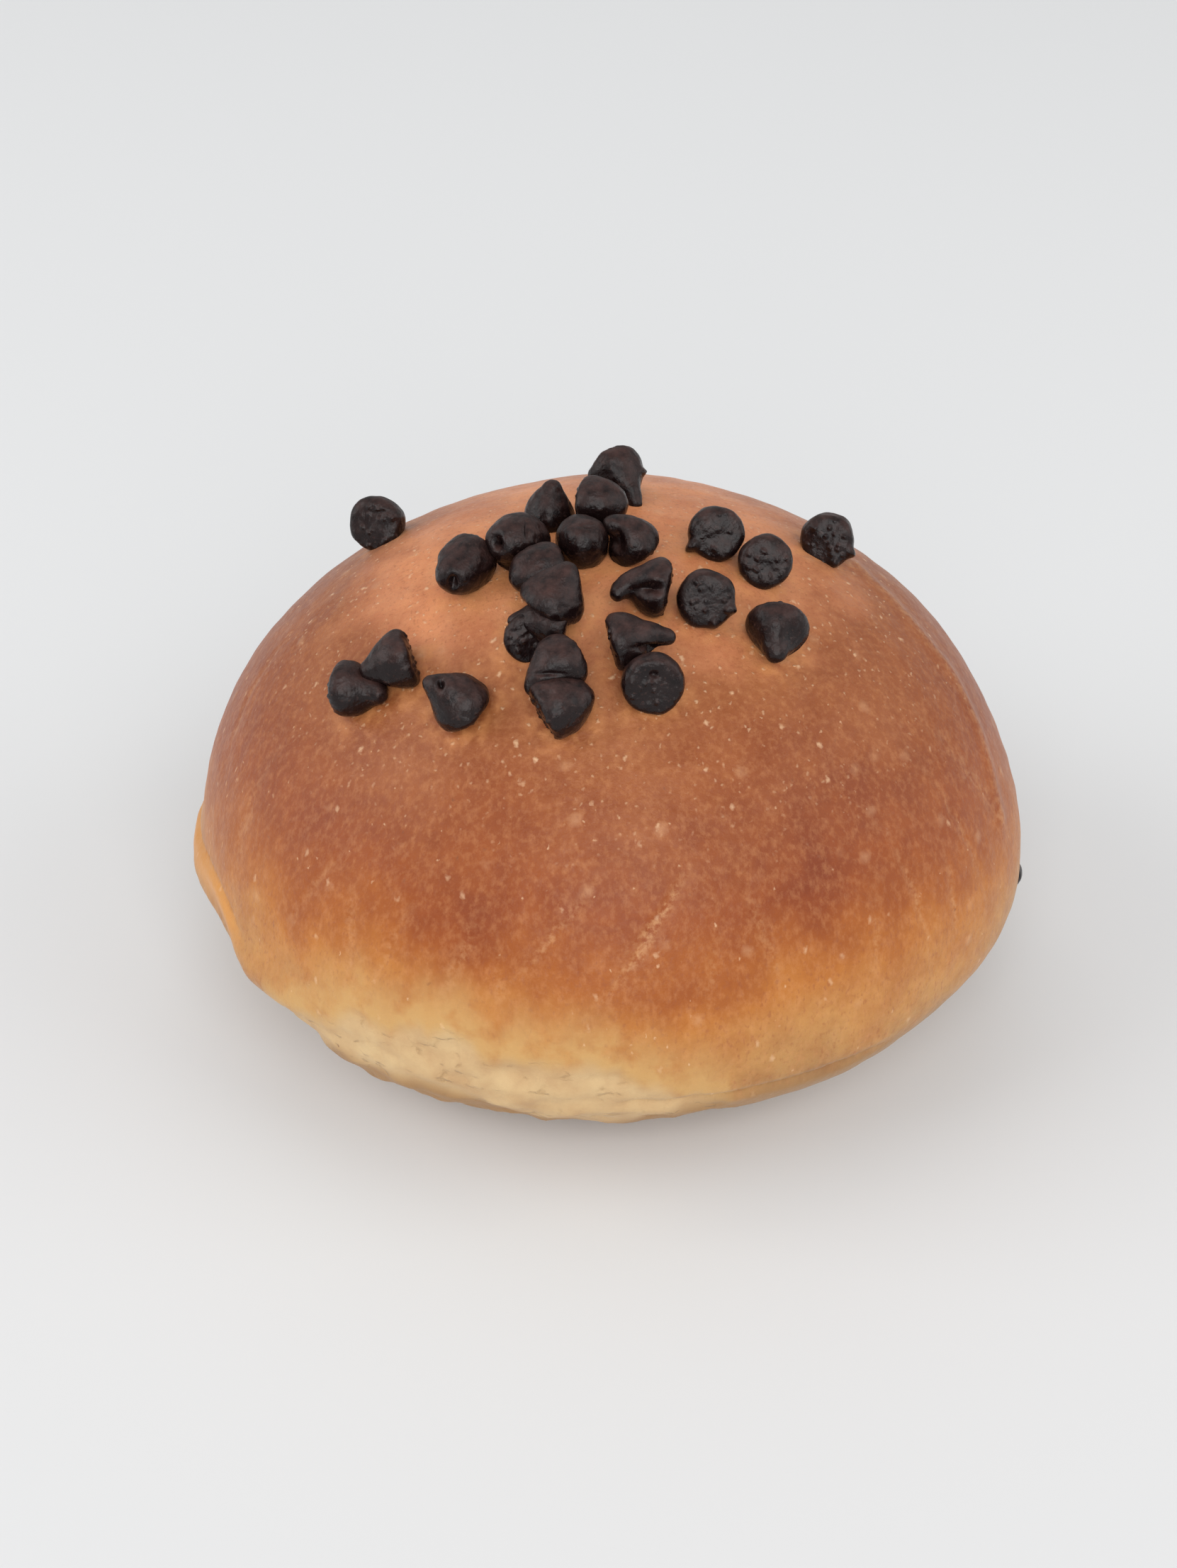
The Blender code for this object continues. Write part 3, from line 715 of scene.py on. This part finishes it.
def piped_drop(name, radius, height, curl, widths):
    """A drop at the origin, piped ring by ring from its foot to its tip, which curls towards +X."""
    bpy.ops.object.select_all(action="DESELECT")
    width, rise = widths[0], RING_RISE[0]
    bpy.ops.mesh.primitive_circle_add(vertices=DROP_SIDES, radius=radius * width, fill_type="NGON")
    drop = bpy.context.object
    drop.name = name
    bpy.ops.object.mode_set(mode="EDIT")
    bpy.ops.mesh.select_all(action="SELECT")
    bpy.ops.mesh.inset(thickness=radius * FOOT_INSET)
    bpy.ops.mesh.poke()
    bpy.ops.mesh.select_all(action="DESELECT")
    bpy.ops.mesh.select_non_manifold()
    place, turned = Vector((0.0, 0.0, 0.0)), 0.0
    for next_width, next_rise in zip(widths[1:], RING_RISE[1:]):
        turn = math.radians(curl) * ease(next_rise, CURL_START, 1.0)
        step = Vector((math.sin(turn), 0.0, math.cos(turn))) * (next_rise - rise) * height
        bpy.ops.mesh.extrude_region_move(TRANSFORM_OT_translate={"value": step})
        place += step
        bpy.ops.transform.resize(value=(next_width / width,) * 3, center_override=place)
        if turn > turned:
            # With no window, rotate turns the other way.
            bpy.ops.transform.rotate(value=turned - turn, orient_axis="Y", center_override=place)
        rise, width, turned = next_rise, next_width, turn
    bpy.ops.mesh.edge_face_add()
    bpy.ops.mesh.poke()
    bpy.ops.mesh.select_all(action="SELECT")
    bpy.ops.mesh.normals_make_consistent(inside=False)
    bpy.ops.object.mode_set(mode="OBJECT")
    applied(drop, "SUBSURF", levels=2, render_levels=2)
    applied(drop, "REMESH", mode="VOXEL", voxel_size=DROP_VOXEL)
    applied(drop, "SMOOTH", factor=0.5, iterations=4)
    bpy.ops.object.shade_smooth()
    return drop


def drop_relief(number, radius):
    """The lumps all over a drop, and the small round bumps of its foot, which set on a belt."""
    seed = Vector((SEED_STEP * number, 0.0, 0.0))

    def relief(place):
        lumps = LUMP * noise.noise(place / LUMP_SIZE + seed)
        bumps = BUMP * noise.noise(place / BUMP_SIZE + seed)
        bead = noise.voronoi(place / FOOT_BUMP_SIZE + seed)[0][0]
        beads = FOOT_BUMP * max(0.0, 1.0 - FOOT_BUMP_STEEPNESS * bead * bead)
        across = math.hypot(place.x, place.y) / radius
        patch = hump(place.z, 0.0, FOOT_HEIGHT * radius) * (1.0 - ease(across, *FOOT_BUMPS_END))
        return lumps + bumps + beads * patch

    return relief


# The hollows and cracks in the drops' fronts, and the nubs, whose depth is negative: drop, how far
# across and up from its middle, half width, half height and depth (mm), seen from the camera.
HOLLOWS = (
    (1, 0.4, 1.0, 0.9, 0.15, 0.25),
    (2, -1.0, -2.0, 0.45, 0.6, 1.3),
    (3, -2.1, -0.6, 0.55, 0.8, 1.9),
    (3, 1.4, 1.0, 0.18, 0.9, 0.35),
    (6, 3.0, 0.7, 0.45, 0.45, -0.7),
    (7, 0.7, 1.4, 0.8, 0.2, 0.25),
    (8, -1.5, -0.6, 0.8, 1.4, 0.7),
    (13, -0.6, -0.9, 1.4, 0.2, 0.35),
    (14, -1.6, 1.2, 0.9, 0.6, 0.35),
    (15, -1.5, 1.5, 0.35, 0.6, 1.0),
    (18, 0.1, -0.5, 1.5, 0.7, 1.3),
    (19, 2.0, -1.1, 1.3, 0.4, 0.9),
    (20, 0.2, 0.4, 0.4, 0.3, 0.55),
    (20, 0.2, 0.4, 1.7, 1.3, 0.30),
    (21, -2.8, -1.6, 0.5, 0.5, -0.9),
    (23, 2.8, -1.4, 0.5, 0.5, -0.6),
    (23, 0.9, -2.9, 0.5, 0.5, -0.5),
    (24, 1.7, -0.2, 1.3, 1.7, 0.5),
    (25, 0.6, -3.0, 0.5, 0.5, -0.5),
    (25, 2.6, -1.9, 0.5, 0.5, -0.6),
)


def pressed(number, obj):
    """The relief of a drop's own hollows."""
    bpy.context.view_layer.update()
    middle = sum((vertex.co for vertex in obj.data.vertices), Vector()) / len(obj.data.vertices)
    up = Vector((0.0, math.sin(CAMERA_TILT), math.cos(CAMERA_TILT)))

    def relief(place):
        from_middle = place - middle
        if from_middle.dot(away) < 0.0:
            return 0.0
        across, rise = from_middle.x / MM, from_middle.dot(up) / MM
        depth = 0.0
        for owner, aside, above, half_width, half_height, deepest in HOLLOWS:
            if owner == number:
                depth += deepest * hump(across, aside, half_width) * hump(rise, above, half_height)
        return -depth * MM

    return relief


def drop_turn(tip, curl_to):
    """The rotation that takes a drop's axis to its tip's heading, and its curl towards curl_to."""
    axis = heading(*tip)
    side = heading(*curl_to)
    side = (side - axis * side.dot(axis)).normalized()
    return Matrix((side, axis.cross(side), axis)).transposed()


def crust_spot(crust, spot):
    """The point of the crust straight under a spot (x, y) or nearest to a spot (x, y, z), and its normal."""
    if len(spot) == 3:
        point, normal, _, _ = crust.find_nearest(Vector(spot) * MM + CAD_SHIFT)
    else:
        above = Vector((spot[0] * MM, spot[1] * MM, 100.0 * MM)) + CAD_SHIFT
        point, normal, _, _ = crust.ray_cast(above, Vector((0.0, 0.0, -1.0)))
    return point, normal


def settle(drop, crust, spot, lift, tip, curl_to):
    """Turns a drop, centres it over its spot and lowers it until it has sunk into the crust."""
    turn = drop_turn(tip, curl_to)
    point, normal = crust_spot(crust, spot)
    corners = [turn @ vertex.co for vertex in drop.data.vertices]
    middle = sum(corners, Vector()) / len(corners)
    lowest = min((corner - middle).dot(normal) for corner in corners)
    drop.data.transform(turn.to_4x4())
    drop.data.transform(Matrix.Translation(point + normal * (lift * MM - DROP_SINK - lowest) - middle))


def tree_of(obj):
    """A mesh as a tree that rays and nearest points are found on."""
    shape = bmesh.new()
    shape.from_mesh(obj.data)
    tree = BVHTree.FromBMesh(shape)
    shape.free()
    return tree


# The CAD model was centred after its drops had been laid out, by this much.
CAD_SHIFT = Vector((0.18 * MM, -0.43 * MM, 0.0))
crust_tree = tree_of(bun)
seats = [crust_spot(crust_tree, row[0])[0] for row in DROPS]


def beside_drop(place):
    """1 touching a drop, fading to 0 over a few millimetres."""
    if place.z < LOWEST_RING:
        return 0.0
    near = min((place - spot).length for spot in seats)
    return 1.0 - ease(near, RING_INSIDE, RING_OUTSIDE)


marked(bun, "beside_drop", beside_drop)

# The chocolate is dark and a little glossy. The sides that face up are painted a paler brown, partly bloom
# and partly painted light from above, and the sides that face down stay darker as painted shade.
CHOCOLATE_DARK = (0.0050, 0.0022, 0.0024, 1.0)
CHOCOLATE_BROWN = (0.056, 0.026, 0.022, 1.0)
# Lighter brown flecks, partly painted glints where tiny bumps catch the light.
CHOCOLATE_FLECK_AND_GLINT = (0.060, 0.030, 0.025, 1.0)
SMEAR_CLOUDS = (1.5 * MM, 4.0, 0.60, 0.30, 0.70, 1.0)
FLECK_AND_GLINT_CLOUDS = (0.45 * MM, 2.0, 0.50, 0.60, 0.72, 0.45)
GLOSS_CLOUDS = (1.2 * MM, 3.0, 0.50, 0.30, 0.70, 0.14)
BLOOM_AND_TOP_LIGHT_FACING = (0.10, 0.95)
BLOOM_AND_TOP_LIGHT_SHARE, BLOOM_AND_TOP_LIGHT_LEAST, BLOOM_ROUGHER = 0.95, 0.12, 0.20
CHOCOLATE_ROUGHNESS, CHOCOLATE_SHINE = 0.18, 0.26
CHOCOLATE_GRAIN, CHOCOLATE_GRAIN_DEPTH = 0.5 * MM, 0.10 * MM

chocolate, tree, shader, place = new_material("chocolate")
bloom_and_painted_top_light = reading(tree, "bloom_and_painted_top_light")
bloom_and_top_light_share = total(tree, product(tree, bloom_and_painted_top_light, BLOOM_AND_TOP_LIGHT_SHARE), BLOOM_AND_TOP_LIGHT_LEAST)
# Paler brown patches on the sides that face up: bloom, and painted light from above.
smears_and_top_light = product(tree, clouds(tree, place, *SMEAR_CLOUDS), bloom_and_top_light_share)
colour = painted(tree, smears_and_top_light, CHOCOLATE_DARK, CHOCOLATE_BROWN)
# Lighter brown flecks all over, partly painted glints where tiny bumps catch the light.
colour = painted(tree, clouds(tree, place, *FLECK_AND_GLINT_CLOUDS), colour, CHOCOLATE_FLECK_AND_GLINT)
texture = mottle(tree, place, CHOCOLATE_GRAIN)
grain = wire(tree, "ShaderNodeBump", {"Height": texture, "Distance": CHOCOLATE_GRAIN_DEPTH})
dull = total(tree, clouds(tree, place, *GLOSS_CLOUDS), product(tree, bloom_and_painted_top_light, BLOOM_ROUGHER))
rough = total(tree, dull, CHOCOLATE_ROUGHNESS)
feed_shader(tree, shader, Base_Color=colour, Roughness=rough, Normal=grain.outputs[0])
shader.inputs["Specular IOR Level"].default_value = CHOCOLATE_SHINE

for number, (spot, lift, tip, curl_to, curl, radius, height, widths) in enumerate(DROPS, start=1):
    drop = piped_drop(f"chocolate_drop_{number:02d}", radius * MM, height * MM, curl, widths)
    raised(drop, drop_relief(number, radius * MM))
    settle(drop, crust_tree, spot, lift, tip, curl_to)
    raised(drop, pressed(number, drop))
    # How far each point faces up, which sets the paler brown that is partly bloom and partly painted light.
    tops = [ease(vertex.normal.z, *BLOOM_AND_TOP_LIGHT_FACING) for vertex in drop.data.vertices]
    drop.data.attributes.new("bloom_and_painted_top_light", "FLOAT", "POINT").data.foreach_set("value", tops)
    drop.data.materials.append(chocolate)
    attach(drop, "root")
    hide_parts(f"drop_{number:02d}")
